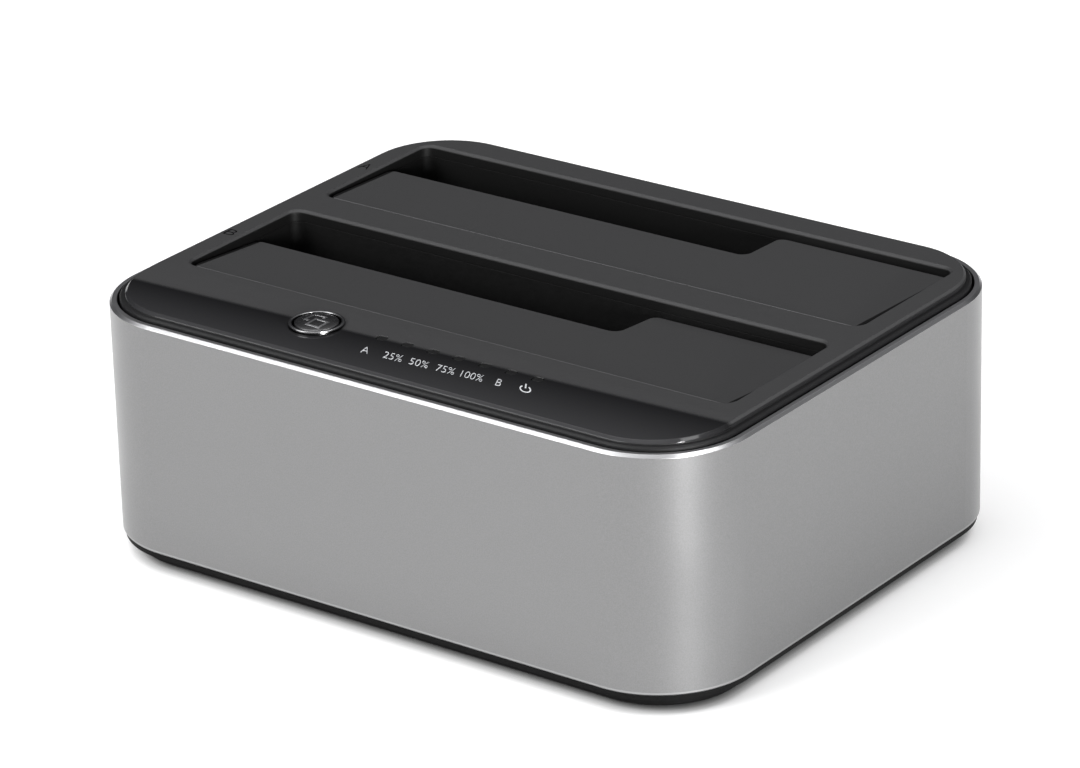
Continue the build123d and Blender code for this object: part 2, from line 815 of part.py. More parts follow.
def make_switch_body():
    """Right-angle slide switch with a slot for its slider."""
    half = switch_width / 2
    y0 = connector_y - switch_depth
    body = block(switch_x - half, switch_x + half, y0, connector_y, board_top, board_top + switch_height)
    body = chamfer(body.edges().filter_by(Axis.Z), 0.3)
    half_x = (slider_width + slider_travel) / 2 + seat_gap
    half_z = slider_height / 2 + seat_gap
    slot_y = connector_y - switch_depth / 2
    body -= block(switch_x - half_x, switch_x + half_x, slot_y, rear_y, slider_z - half_z, slider_z + half_z)
    return body


def make_slider():
    """The slider's finger piece, at the off end of its slot."""
    y0 = connector_y - switch_depth / 2 + seat_gap
    x = switch_x - slider_travel / 2
    half = slider_width / 2
    half_z = slider_height / 2
    knob = block(x - half, x + half, y0, rear_y - rear_inset, slider_z - half_z, slider_z + half_z)
    return chamfer(knob.faces().sort_by(Axis.Y)[-1].edges(), 0.2)


def make_front_board():
    """Small board for the indicators and the push switch, screwed under the cover."""
    x0 = front_board_left
    x1 = front_board_right
    hole_radius = screw_radius + screw_hole_gap
    board = block(x0, x1, front_board_front, front_board_rear, front_board_under, front_board_top)
    for x in front_screw_places:
        board -= stud(x, front_screw_y, front_board_under - 1, front_board_top + 1, hole_radius)
    return board


def make_leds():
    """One surface-mount light under each window."""
    lights = []
    half_x = led_length / 2
    half_y = led_width / 2
    top = front_board_top + led_height
    for index in range(window_count):
        x = window_first_x + index * window_pitch
        light = block(-half_x, half_x, -half_y, half_y, front_board_top, top)
        lights.append(Pos(x, window_y, 0) * light)
    return Compound(children=lights)


def make_light_guide():
    """Clear bar with a peg up through each window, its tops flush with the sloping land."""
    z0 = front_board_top + led_height + seat_gap
    bar_z = z0 + guide_bar / 2
    x0 = window_first_x - guide_rim
    x1 = window_first_x + (window_count - 1) * window_pitch + guide_rim
    guide = block(x0, x1, window_y - guide_half, window_y + guide_half, bar_z, bar_z + guide_bar)
    slope = front_fall / (strip_depth - front_fall_start)
    land = plateau_z - slope * (window_from_bay - front_fall_start)
    for index in range(window_count):
        guide += window_block(index, z0, land - 0.08, 0)
    return guide


def make_switch_block():
    """Push switch on the front board, with a round well for its plunger."""
    half = push_switch_size / 2
    top = front_board_top + push_switch_height
    body = Pos(button_x, button_y, 0) * block(-half, half, -half, half, front_board_top, top)
    body = chamfer(body.edges().filter_by(Axis.Z), 0.4)
    floor = front_board_top + push_switch_floor
    return body - stud(button_x, button_y, floor, top + 1, stem_radius + seat_gap)


def make_plunger():
    """The switch's plunger, which the cap's stem stands on."""
    under = front_board_top + push_switch_floor + button_travel + seat_gap
    return stud(button_x, button_y, under, front_board_top + plunger_reach, stem_radius)


def make_button():
    """Bevelled cap with a flange that keeps it under the cover and a stem to the plunger."""
    radius = ring_radius - ring_width - cap_gap
    top = plateau_z + cap_stand
    cap = post(button_x, button_y, plate_under - seat_gap - cap_flange_height, top, radius)
    cap = chamfer(cap.faces().sort_by(Axis.Z)[-1].edges(), cap_chamfer)
    flange_top = plate_under - seat_gap
    cap += post(button_x, button_y, flange_top - cap_flange_height, flange_top, flange_radius)
    cap += stud(button_x, button_y, front_board_top + plunger_reach, flange_top - 0.2, stem_radius)
    return cap


def make_ring():
    """Bright ring pressed into the cover round the button."""
    outer = post(button_x, button_y, plateau_z - ring_seat, plateau_z + ring_stand, ring_radius)
    outer = chamfer(outer.faces().sort_by(Axis.Z)[-1].edges(), ring_chamfer)
    inner_radius = ring_radius - ring_width
    return outer - post(button_x, button_y, plateau_z - ring_seat - 1, plateau_z + 1, inner_radius)


def make_header(z0, z1, y):
    """A small flat connector for the ribbon."""
    half_x = header_width / 2
    half_y = header_depth / 2
    return block(cable_x - half_x, cable_x + half_x, y - half_y, y + half_y, z0, z1)


def make_ribbon():
    """Flat eight-way ribbon between the boards, bowed forward to take up its slack."""
    rise = (cable_head - cable_foot) / 4
    turn = math.atan2(ribbon_bow, rise)
    slant = math.hypot(ribbon_bow, rise)
    largest_bend = 0.9 * slant / (math.tan(turn / 2) + math.tan(turn))
    path = FilletPolyline(
        (cable_x, cable_y, cable_foot),
        (cable_x, cable_y, cable_foot + rise),
        (cable_x, cable_y - ribbon_bow, cable_foot + 2 * rise),
        (cable_x, cable_y, cable_head - rise),
        (cable_x, cable_y, cable_head),
        radius=min(ribbon_bend, largest_bend),
    )
    section = Plane(origin=(cable_x, cable_y, cable_foot)) * Rectangle(ribbon_width, ribbon_thickness)
    return sweep(section, path=path)


save("aluminium_sleeve", make_sleeve())
save("top_cover", make_cover())
save("base_tray", make_base())
save("rubber_feet", make_feet())
save("base_screws", make_base_screws())
save("board_screws", make_board_screws())
save("front_board_screws", make_front_board_screws())
for letter, front, sag in (("a", bay_a_front, flap_a_sag), ("b", bay_b_front, flap_b_sag)):
    save("bay_well_" + letter, make_well(front, letter == "b"))
    save("flap_" + letter, make_flap(front, sag))
    save("flap_" + letter + "_pin", make_pin(front))
    save("flap_" + letter + "_spring", make_spring(front, sag))
    save("sata_socket_" + letter, make_socket(front))
    save("sata_contacts_" + letter, make_contacts(front))
save("main_board", make_main_board())
save("bridge_chip", make_chip(bridge_chip_x, front_y + front_row, bridge_chip_size))
clone_chip_y = bay_b_front + clone_chip_behind
save("clone_chip", make_chip(clone_chip_x, clone_chip_y, clone_chip_size))
save("power_capacitors", make_capacitors())
save("power_inductors", make_inductors())
save("rear_panel", make_rear_panel())
save("dc_jack", make_jack())
save("usb_port", make_usb())
save("power_switch_body", make_switch_body())
save("power_slider", make_slider())
save("front_board", make_front_board())
save("indicator_leds", make_leds())
save("light_guide", make_light_guide())
save("switch_body", make_switch_block())
save("switch_plunger", make_plunger())
save("clone_button", make_button())
save("button_ring", make_ring())
save("board_header", make_header(board_top, cable_foot, cable_y))
save("front_header", make_header(cable_head, front_board_under, cable_y))
save("ribbon_cable", make_ribbon())
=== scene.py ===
import bpy
import json
from math import atan2, cos, pi, radians, sin
from mathutils import Matrix, Vector


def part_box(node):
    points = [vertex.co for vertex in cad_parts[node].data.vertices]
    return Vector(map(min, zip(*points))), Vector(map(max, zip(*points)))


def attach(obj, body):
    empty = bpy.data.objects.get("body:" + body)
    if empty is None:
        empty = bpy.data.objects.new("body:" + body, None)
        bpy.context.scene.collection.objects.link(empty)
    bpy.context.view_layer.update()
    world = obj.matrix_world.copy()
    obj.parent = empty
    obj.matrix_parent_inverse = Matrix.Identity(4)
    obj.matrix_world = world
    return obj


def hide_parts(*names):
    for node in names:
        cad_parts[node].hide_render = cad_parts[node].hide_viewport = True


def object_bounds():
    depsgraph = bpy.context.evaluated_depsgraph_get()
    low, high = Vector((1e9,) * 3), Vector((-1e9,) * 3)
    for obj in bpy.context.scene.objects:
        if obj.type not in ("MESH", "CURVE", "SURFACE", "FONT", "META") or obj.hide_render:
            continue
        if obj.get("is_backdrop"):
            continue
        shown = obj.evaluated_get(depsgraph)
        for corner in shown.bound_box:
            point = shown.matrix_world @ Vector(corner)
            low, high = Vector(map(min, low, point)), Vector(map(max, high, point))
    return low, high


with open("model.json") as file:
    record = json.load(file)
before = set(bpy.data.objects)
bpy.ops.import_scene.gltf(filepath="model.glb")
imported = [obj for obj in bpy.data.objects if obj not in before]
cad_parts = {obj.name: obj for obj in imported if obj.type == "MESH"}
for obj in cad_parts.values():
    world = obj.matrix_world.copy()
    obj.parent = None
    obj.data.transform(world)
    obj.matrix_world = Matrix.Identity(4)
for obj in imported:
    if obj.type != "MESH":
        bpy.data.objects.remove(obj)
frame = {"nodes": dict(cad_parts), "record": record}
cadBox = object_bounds()
bpy.ops.object.select_all(action="DESELECT")
print("frame loaded:", len(frame["nodes"]), "CAD nodes")

mm = 0.001
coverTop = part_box("top_cover")[1][2]


# Camera, floor and light

viewpoint = {
    "place": (0.44832, -0.60242, 0.34856),
    "azimuth": 36.749,
    "elevation": 23.220,
    "roll": -1.542,
    "lens": 170.43,
    "sensor": 36.0,
}


def setCamera():
    az = radians(viewpoint["azimuth"])
    el = radians(viewpoint["elevation"])
    roll = radians(viewpoint["roll"])
    back = Vector((sin(az) * cos(el), -cos(az) * cos(el), sin(el)))
    right = Vector((cos(az), sin(az), 0.0))
    up = back.cross(right)
    across = right * cos(roll) + up * sin(roll)
    above = up * cos(roll) - right * sin(roll)
    data = bpy.data.cameras.new("camera")
    data.sensor_width = viewpoint["sensor"]
    data.lens = viewpoint["lens"]
    data.clip_start = 0.01
    camera = bpy.data.objects.new("camera", data)
    bpy.context.scene.collection.objects.link(camera)
    turn = Matrix((across, above, back)).transposed().to_4x4()
    camera.matrix_world = Matrix.Translation(viewpoint["place"]) @ turn
    bpy.context.scene.camera = camera


studio = {
    "floorSize": 6.0,
    "floorColour": (0.84, 0.84, 0.84, 1.0),
    "floorGlow": 0.27,
    "contactReach": 2.2 * mm,
    "contactPower": 1.0,
    "worldLow": (0.06, 0.06, 0.065, 1.0),
    "worldHigh": (0.90, 0.90, 0.91, 1.0),
    "worldRamp": (0.42, 0.90),
    "worldStrength": 0.70,
}

softboxes = {
    "keyLight": {"place": (-0.60, -1.10, 0.78), "size": (0.9, 0.7), "power": 18.0},
    "cornerLight": {"place": (1.07, -0.545, 0.13), "size": (0.16, 0.24), "power": 22.0},
    "arcLight": {"place": (0.58, 0.14, 1.03), "size": (0.60, 0.25), "power": 3.4},
    "topLight": {"place": (-0.35, -0.10, 1.30), "size": (1.0, 0.9), "power": 5.0},
}


def addNode(tree, kind, settings=None, inputs=None):
    node = tree.nodes.new(kind)
    for key, value in (settings or {}).items():
        setattr(node, key, value)
    for key, value in (inputs or {}).items():
        node.inputs[key].default_value = value
    return node


def seenRays(tree, path):
    # one for the rays of the camera, of metal and of glass
    total = path.outputs["Is Camera Ray"]
    for ray in ("Is Glossy Ray", "Is Transmission Ray"):
        either = addNode(tree, "ShaderNodeMath", {"operation": "MAXIMUM"})
        tree.links.new(total, either.inputs[0])
        tree.links.new(path.outputs[ray], either.inputs[1])
        total = either.outputs[0]
    return total


def setFloor():
    bpy.ops.mesh.primitive_plane_add(size=studio["floorSize"], location=(0, 0, 0))
    floor = bpy.context.object
    floor.name = "floor"
    mat = bpy.data.materials.new("paleFloor")
    mat.use_nodes = True
    tree = mat.node_tree
    tree.nodes.clear()
    out = addNode(tree, "ShaderNodeOutputMaterial")
    matte = addNode(tree, "ShaderNodeBsdfDiffuse")
    glow = addNode(tree, "ShaderNodeEmission")
    path = addNode(tree, "ShaderNodeLightPath")
    seen = addNode(tree, "ShaderNodeMath", {"operation": "MULTIPLY"}, {1: studio["floorGlow"]})
    both = addNode(tree, "ShaderNodeAddShader")
    # close to the product the floor falls into its contact shadow
    near = addNode(tree, "ShaderNodeAmbientOcclusion", {"samples": 8}, {"Distance": studio["contactReach"]})
    deep = addNode(tree, "ShaderNodeMath", {"operation": "POWER"}, {1: studio["contactPower"]})
    tint = addNode(tree, "ShaderNodeVectorMath", {"operation": "SCALE"}, {0: studio["floorColour"][:3]})
    tree.links.new(near.outputs["AO"], deep.inputs[0])
    tree.links.new(deep.outputs[0], tint.inputs["Scale"])
    tree.links.new(tint.outputs["Vector"], matte.inputs["Color"])
    tree.links.new(deep.outputs[0], glow.inputs["Color"])
    tree.links.new(seenRays(tree, path), seen.inputs[0])
    tree.links.new(seen.outputs[0], glow.inputs["Strength"])
    tree.links.new(matte.outputs[0], both.inputs[0])
    tree.links.new(glow.outputs[0], both.inputs[1])
    tree.links.new(both.outputs[0], out.inputs["Surface"])
    floor.data.materials.append(mat)
    floor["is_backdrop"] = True


def setWorld():
    world = bpy.data.worlds.new("studio")
    world.use_nodes = True
    bpy.context.scene.world = world
    tree = world.node_tree
    tree.nodes.clear()
    out = addNode(tree, "ShaderNodeOutputWorld")
    sky = addNode(tree, "ShaderNodeBackground", inputs={"Strength": studio["worldStrength"]})
    white = addNode(tree, "ShaderNodeBackground", inputs={"Color": (1, 1, 1, 1)})
    place = addNode(tree, "ShaderNodeTexCoord")
    split = addNode(tree, "ShaderNodeSeparateXYZ")
    ramp = addNode(tree, "ShaderNodeValToRGB")
    ramp.color_ramp.elements[0].position = studio["worldRamp"][0]
    ramp.color_ramp.elements[0].color = studio["worldLow"]
    ramp.color_ramp.elements[1].position = studio["worldRamp"][1]
    ramp.color_ramp.elements[1].color = studio["worldHigh"]
    path = addNode(tree, "ShaderNodeLightPath")
    choose = addNode(tree, "ShaderNodeMixShader")
    tree.links.new(place.outputs["Generated"], split.inputs[0])
    tree.links.new(split.outputs["Z"], ramp.inputs["Fac"])
    tree.links.new(ramp.outputs["Color"], sky.inputs["Color"])
    tree.links.new(path.outputs["Is Camera Ray"], choose.inputs["Fac"])
    tree.links.new(sky.outputs[0], choose.inputs[1])
    tree.links.new(white.outputs[0], choose.inputs[2])
    tree.links.new(choose.outputs[0], out.inputs["Surface"])


def setLamps():
    for name, box in softboxes.items():
        data = bpy.data.lights.new(name, "AREA")
        data.shape = "RECTANGLE"
        data.size, data.size_y = box["size"]
        data.energy = box["power"]
        lamp = bpy.data.objects.new(name, data)
        bpy.context.scene.collection.objects.link(lamp)
        aim = Vector((0, 0, 0.02)) - Vector(box["place"])
        lamp.rotation_euler = aim.to_track_quat("-Z", "Y").to_euler()
        lamp.location = box["place"]


setCamera()
setFloor()
setWorld()
setLamps()
bpy.context.scene.view_settings.view_transform = "Standard"
print("camera, floor and lights set")


# Finishes

def startFinish(name, colour, metallic, roughness, specular=0.5):
    mat = bpy.data.materials.new(name)
    mat.use_nodes = True
    shader = mat.node_tree.nodes["Principled BSDF"]
    shader.inputs["Base Color"].default_value = (*colour, 1.0)
    shader.inputs["Metallic"].default_value = metallic
    shader.inputs["Roughness"].default_value = roughness
    shader.inputs["Specular IOR Level"].default_value = specular
    return mat, mat.node_tree, shader


def noiseOn(tree, scale, detail=3.0, rough=0.6):
    place = addNode(tree, "ShaderNodeTexCoord")
    noise = addNode(tree, "ShaderNodeTexNoise", inputs={"Scale": scale, "Detail": detail, "Roughness": rough})
    tree.links.new(place.outputs["Object"], noise.inputs["Vector"])
    return noise.outputs["Fac"]


def mapTo(tree, value, low, high, fromLow=0.3, fromHigh=0.7):
    spread = addNode(tree, "ShaderNodeMapRange", {"clamp": True},
                     {"From Min": fromLow, "From Max": fromHigh, "To Min": low, "To Max": high})
    tree.links.new(value, spread.inputs["Value"])
    return spread.outputs["Result"]


def multiply(tree, a, b):
    product = addNode(tree, "ShaderNodeMath", {"operation": "MULTIPLY"})
    tree.links.new(a, product.inputs[0])
    if isinstance(b, float):
        product.inputs[1].default_value = b
    else:
        tree.links.new(b, product.inputs[1])
    return product.outputs[0]


def invert(tree, value):
    other = addNode(tree, "ShaderNodeMath", {"operation": "SUBTRACT"}, {0: 1.0})
    tree.links.new(value, other.inputs[1])
    return other.outputs[0]


def mixColour(tree, mask, a, b):
    mix = addNode(tree, "ShaderNodeMix", {"data_type": "RGBA"})
    tree.links.new(mask, mix.inputs["Factor"])
    for socket, colour in ((mix.inputs["A"], a), (mix.inputs["B"], b)):
        if isinstance(colour, tuple):
            socket.default_value = (*colour, 1.0)
        else:
            tree.links.new(colour, socket)
    return mix.outputs["Result"]


def mixValue(tree, mask, a, b):
    mix = addNode(tree, "ShaderNodeMix", {"data_type": "FLOAT"})
    tree.links.new(mask, mix.inputs["Factor"])
    for socket, value in ((mix.inputs["A"], a), (mix.inputs["B"], b)):
        if isinstance(value, float):
            socket.default_value = value
        else:
            tree.links.new(value, socket)
    return mix.outputs["Result"]


def axisValue(tree, axis):
    place = addNode(tree, "ShaderNodeTexCoord")
    split = addNode(tree, "ShaderNodeSeparateXYZ")
    tree.links.new(place.outputs["Object"], split.inputs[0])
    return split.outputs[axis]


def roughen(tree, shader, height, depth, strength=None, round=0.0):
    bump = addNode(tree, "ShaderNodeBump", inputs={"Strength": 1.0, "Distance": depth})
    if round:
        soft = addNode(tree, "ShaderNodeBevel", {"samples": 6}, {"Radius": round})
        tree.links.new(soft.outputs["Normal"], bump.inputs["Normal"])
    tree.links.new(height, bump.inputs["Height"])
    if strength is not None:
        tree.links.new(strength, bump.inputs["Strength"])
    tree.links.new(bump.outputs["Normal"], shader.inputs["Normal"])


sleeveLook = {
    "edgeRound": 0.10 * mm,
    "colour": (0.220, 0.220, 0.221),
    "pale": (0.250, 0.250, 0.251),
    "polished": (0.60, 0.60, 0.61),
    "foot": (0.33, 0.33, 0.332),
    "grain": 5200.0,
    "cloud": 60.0,
    "roughness": (0.29, 0.33),
    "polishedRoughness": 0.30,
    "grainDepth": 0.008 * mm,
    "edgeHeight": 0.48 * mm,
    "footHeight": 0.62 * mm,
}


def sleeveFinish():
    look = sleeveLook
    mat, tree, shader = startFinish("blastedAluminium", look["colour"], 1.0, 0.4)
    low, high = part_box("aluminium_sleeve")
    grain = noiseOn(tree, look["grain"], 2.0)
    cloud = noiseOn(tree, look["cloud"], 4.0)
    height = axisValue(tree, "Z")
    top = mapTo(tree, height, 0.0, 1.0, high[2] - look["edgeHeight"], high[2] - look["edgeHeight"] + 0.03 * mm)
    foot = mapTo(tree, height, 1.0, 0.0, low[2] + look["footHeight"] - 0.03 * mm, low[2] + look["footHeight"])
    flecks = mapTo(tree, grain, 0.0, 1.0, 0.35, 0.65)
    speckle = mixColour(tree, flecks, look["colour"], look["pale"])
    body = mixColour(tree, foot, speckle, look["foot"])
    tree.links.new(mixColour(tree, top, body, look["polished"]), shader.inputs["Base Color"])
    satin = mapTo(tree, cloud, *look["roughness"])
    tree.links.new(mixValue(tree, top, satin, look["polishedRoughness"]), shader.inputs["Roughness"])
    roughen(tree, shader, grain, look["grainDepth"], invert(tree, top), look["edgeRound"])
    return mat


coverLook = {
    "edgeRound": 0.25 * mm,
    "colour": (0.033, 0.033, 0.034),
    "pale": (0.041, 0.041, 0.042),
    "specular": 0.24,
    "gloss": (0.006, 0.006, 0.0065),
    # painted reflection: the glossy land grows lighter towards its front edge
    "glossFrontReflection": (0.030, 0.030, 0.0315),
    "reflectionRampEnd": -44.5 * mm,
    # painted shade on the walls of the openings and on the ledge
    "wall": (0.003, 0.003, 0.003),
    "ledgeShade": (0.008, 0.008, 0.0085),
    "wallTop": coverTop - 0.32 * mm,
    "wallFrom": (-53.6 * mm, -30.5 * mm),
    "grain": 3600.0,
    "roughness": (0.46, 0.54),
    "glossRoughness": 0.07,
    "grainDepth": 0.010 * mm,
    "glossLine": -33.15 * mm,
    "glossSlope": 0.036,
    "glossSoft": 0.5 * mm,
    "glossBottom": coverTop - 0.9 * mm,
}


def coverFinish():
    look = coverLook
    mat, tree, shader = startFinish("mouldedCover", look["colour"], 0.0, 0.5, look["specular"])
    grain = noiseOn(tree, look["grain"], 2.0)
    # the front land is polished up to a line that runs almost along X
    slant = multiply(tree, axisValue(tree, "X"), look["glossSlope"])
    past = addNode(tree, "ShaderNodeMath", {"operation": "SUBTRACT"})
    tree.links.new(axisValue(tree, "Y"), past.inputs[0])
    tree.links.new(slant, past.inputs[1])
    line, soft = look["glossLine"], look["glossSoft"]
    front = mapTo(tree, past.outputs[0], 1.0, 0.0, line - soft, line + soft)
    above = mapTo(tree, axisValue(tree, "Z"), 0.0, 1.0, look["glossBottom"], look["glossBottom"] + 0.05 * mm)
    mask = multiply(tree, front, above)
    speckle = mixColour(tree, mapTo(tree, grain, 0.0, 1.0), look["colour"], look["pale"])
    # painted shade: the ledge and the walls of the openings are painted darker than the face
    across = addNode(tree, "ShaderNodeMath", {"operation": "ABSOLUTE"})
    tree.links.new(axisValue(tree, "X"), across.inputs[0])
    inner = mapTo(tree, across.outputs[0], 1.0, 0.0, -look["wallFrom"][0] - 0.1 * mm, -look["wallFrom"][0])
    behind = mapTo(tree, axisValue(tree, "Y"), 0.0, 1.0, look["wallFrom"][1], look["wallFrom"][1] + 0.1 * mm)
    below = mapTo(tree, axisValue(tree, "Z"), 1.0, 0.0, look["wallTop"] - 0.1 * mm, look["wallTop"])
    outer = mixColour(tree, multiply(tree, inner, behind), look["ledgeShade"], look["wall"])
    matte = mixColour(tree, below, speckle, outer)
    # painted reflection: from the gloss line to the front the colour ramps from gloss to a lighter tone
    reflectionRamp = mapTo(tree, past.outputs[0], 1.0, 0.0, look["reflectionRampEnd"], look["glossLine"])
    glossWithReflection = mixColour(tree, reflectionRamp, look["gloss"], look["glossFrontReflection"])
    tree.links.new(mixColour(tree, mask, matte, glossWithReflection), shader.inputs["Base Color"])
    satin = mapTo(tree, grain, *look["roughness"])
    tree.links.new(mixValue(tree, mask, satin, look["glossRoughness"]), shader.inputs["Roughness"])
    roughen(tree, shader, grain, look["grainDepth"], invert(tree, mask), look["edgeRound"])
    return mat


plasticEdge = 0.15 * mm
plasticLooks = {
    "wellPlastic": {"colour": (0.003, 0.003, 0.003), "pale": (0.005, 0.005, 0.005), "specular": 0.14,
                    "roughness": (0.50, 0.62), "grain": 2600.0, "depth": 0.012 * mm},
    "basePlastic": {"colour": (0.004, 0.004, 0.004), "pale": (0.007, 0.007, 0.007), "specular": 0.05,
                    "roughness": (0.42, 0.52), "grain": 2600.0, "depth": 0.012 * mm},
    "connectorPlastic": {"colour": (0.016, 0.016, 0.017), "pale": (0.022, 0.022, 0.023),
                         "roughness": (0.34, 0.44), "grain": 4200.0, "depth": 0.006 * mm},
    "sliderPlastic": {"colour": (0.060, 0.060, 0.064), "pale": (0.075, 0.075, 0.080),
                      "roughness": (0.40, 0.50), "grain": 4200.0, "depth": 0.006 * mm},
    "chipPlastic": {"colour": (0.020, 0.020, 0.021), "pale": (0.030, 0.030, 0.031),
                    "roughness": (0.52, 0.66), "grain": 6000.0, "depth": 0.008 * mm},
    "headerPlastic": {"colour": (0.66, 0.63, 0.54), "pale": (0.72, 0.69, 0.60),
                      "roughness": (0.40, 0.50), "grain": 2600.0, "depth": 0.006 * mm},
    "inductorBody": {"colour": (0.120, 0.120, 0.125), "pale": (0.170, 0.170, 0.175),
                     "roughness": (0.50, 0.66), "grain": 5000.0, "depth": 0.015 * mm},
    "footRubber": {"colour": (0.022, 0.022, 0.022), "pale": (0.032, 0.032, 0.031),
                   "roughness": (0.74, 0.88), "grain": 1800.0, "depth": 0.020 * mm},
    "ledBody": {"colour": (0.78, 0.74, 0.52), "pale": (0.86, 0.83, 0.66),
                "roughness": (0.20, 0.30), "grain": 2600.0, "depth": 0.004 * mm},
    "windowPlastic": {"colour": (0.002, 0.002, 0.002), "pale": (0.004, 0.004, 0.004),
                      "roughness": (0.30, 0.40), "grain": 2600.0, "depth": 0.002 * mm},
}


def plasticFinish(name):
    look = plasticLooks[name]
    mat, tree, shader = startFinish(name, look["colour"], 0.0, 0.5, look.get("specular", 0.5))
    grain = noiseOn(tree, look["grain"], 2.0)
    speckle = mixColour(tree, mapTo(tree, grain, 0.0, 1.0), look["colour"], look["pale"])
    tree.links.new(speckle, shader.inputs["Base Color"])
    tree.links.new(mapTo(tree, grain, *look["roughness"]), shader.inputs["Roughness"])
    roughen(tree, shader, grain, look["depth"], None, plasticEdge)
    return mat


flapLook = {
    "colour": (0.036, 0.036, 0.037),
    "pale": (0.044, 0.044, 0.045),
    "specular": 0.16,
    # painted light and shade: the seam colour is a painted shadow, the lip colour a painted highlight
    "seamShadow": (0.0015, 0.0015, 0.0015),
    "lip": (0.110, 0.110, 0.112),
    "top": 0.1 * mm,
    "side": 0.60 * mm,
    "front": 0.16 * mm,
    "roughness": (0.48, 0.56),
    "grain": 3600.0,
    "depth": 0.010 * mm,
}


def flapFinish(node):
    look = flapLook
    mat, tree, shader = startFinish("finish_" + node, look["colour"], 0.0, 0.5, look["specular"])
    low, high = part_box(node)
    grain = noiseOn(tree, look["grain"], 2.0)
    speckle = mixColour(tree, mapTo(tree, grain, 0.0, 1.0), look["colour"], look["pale"])
    # painted shadow of the seam along the sides, a painted highlight along the front lip
    across = addNode(tree, "ShaderNodeMath", {"operation": "ABSOLUTE"})
    tree.links.new(axisValue(tree, "X"), across.inputs[0])
    plate = [v.co for v in frame["nodes"][node].data.vertices if v.co.z > high[2] - look["top"]]
    half = max(point.x for point in plate) - look["side"]
    side = mapTo(tree, across.outputs[0], 0.0, 1.0, half - 0.05 * mm, half)
    ahead = min(point.y for point in plate) + look["front"]
    front = mapTo(tree, axisValue(tree, "Y"), 1.0, 0.0, ahead, ahead + 0.05 * mm)
    lipped = mixColour(tree, front, speckle, look["lip"])
    tree.links.new(mixColour(tree, side, lipped, look["seamShadow"]), shader.inputs["Base Color"])
    tree.links.new(mapTo(tree, grain, *look["roughness"]), shader.inputs["Roughness"])
    roughen(tree, shader, grain, look["depth"], None, plasticEdge)
    return mat


metalLooks = {
    "blackScrew": {"colour": (0.10, 0.10, 0.105), "pale": (0.15, 0.15, 0.155), "roughness": (0.30, 0.42),
                   "grain": 900.0, "depth": 0.004 * mm},
    "groundPin": {"colour": (0.52, 0.52, 0.53), "pale": (0.60, 0.60, 0.61), "roughness": (0.20, 0.30),
                  "grain": 1400.0, "depth": 0.003 * mm},
    "springSteel": {"colour": (0.42, 0.41, 0.40), "pale": (0.52, 0.51, 0.50), "roughness": (0.26, 0.38),
                    "grain": 1400.0, "depth": 0.003 * mm},
    "contactGold": {"colour": (0.80, 0.56, 0.20), "pale": (0.88, 0.66, 0.30), "roughness": (0.22, 0.32),
                    "grain": 2400.0, "depth": 0.002 * mm},
    "portSteel": {"colour": (0.56, 0.56, 0.57), "pale": (0.64, 0.64, 0.65), "roughness": (0.26, 0.36),
                  "grain": 1100.0, "depth": 0.003 * mm},
    "ringChrome": {"colour": (0.26, 0.26, 0.265), "pale": (0.31, 0.31, 0.315), "roughness": (0.20, 0.26),
                   # painted shade: the ring's walls below wallTop take a darker colour
                   "grain": 900.0, "depth": 0.0004 * mm, "wall": (0.03, 0.03, 0.03),
                   "wallTop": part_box("button_ring")[1][2] - 0.20 * mm},
    "buttonMetal": {"colour": (0.15, 0.15, 0.153), "pale": (0.19, 0.19, 0.193), "roughness": (0.22, 0.30),
                    "grain": 900.0, "depth": 0.002 * mm},
    "iconMetal": {"colour": (0.62, 0.62, 0.63), "pale": (0.70, 0.70, 0.71), "roughness": (0.24, 0.32),
                  "grain": 1400.0, "depth": 0.002 * mm},
}


def metalFinish(name):
    look = metalLooks[name]
    mat, tree, shader = startFinish(name, look["colour"], 1.0, 0.3)
    grain = noiseOn(tree, look["grain"], 4.0)
    mottle = mixColour(tree, mapTo(tree, grain, 0.0, 1.0), look["colour"], look["pale"])
    # painted shade: where a look gives a wall colour, the walls below wallTop are painted darker
    if "wall" in look:
        below = mapTo(tree, axisValue(tree, "Z"), 1.0, 0.0, look["wallTop"] - 0.1 * mm, look["wallTop"])
        mottle = mixColour(tree, below, mottle, look["wall"])
    tree.links.new(mottle, shader.inputs["Base Color"])
    tree.links.new(mapTo(tree, grain, *look["roughness"]), shader.inputs["Roughness"])
    roughen(tree, shader, grain, look["depth"])
    return mat


boardLook = {
    "mask": (0.006, 0.060, 0.026),
    "copper": (0.012, 0.100, 0.044),
    "edge": (0.32, 0.29, 0.16),
    "trackScale": 160.0,
    "roughness": (0.24, 0.34),
    "depth": 0.02 * mm,
}


def boardFinish():
    look = boardLook
    mat, tree, shader = startFinish("solderMask", look["mask"], 0.0, 0.3)
    place = addNode(tree, "ShaderNodeTexCoord")
    tracks = addNode(tree, "ShaderNodeTexBrick",
                     inputs={"Scale": look["trackScale"], "Mortar Size": 0.03, "Mortar Smooth": 0.2})
    tree.links.new(place.outputs["Object"], tracks.inputs["Vector"])
    cloud = noiseOn(tree, 700.0, 3.0)
    lines = multiply(tree, tracks.outputs["Fac"], mapTo(tree, cloud, 0.3, 1.0))
    tree.links.new(mixColour(tree, lines, look["mask"], look["copper"]), shader.inputs["Base Color"])
    tree.links.new(mapTo(tree, cloud, *look["roughness"]), shader.inputs["Roughness"])
    roughen(tree, shader, lines, look["depth"])
    return mat


ribbonLook = {
    "colour": (0.40, 0.41, 0.43),
    # painted shade in the grooves between the wires
    "grooveShade": (0.22, 0.23, 0.25),
    "bands": 314.0,
    "depth": 0.12 * mm,
}


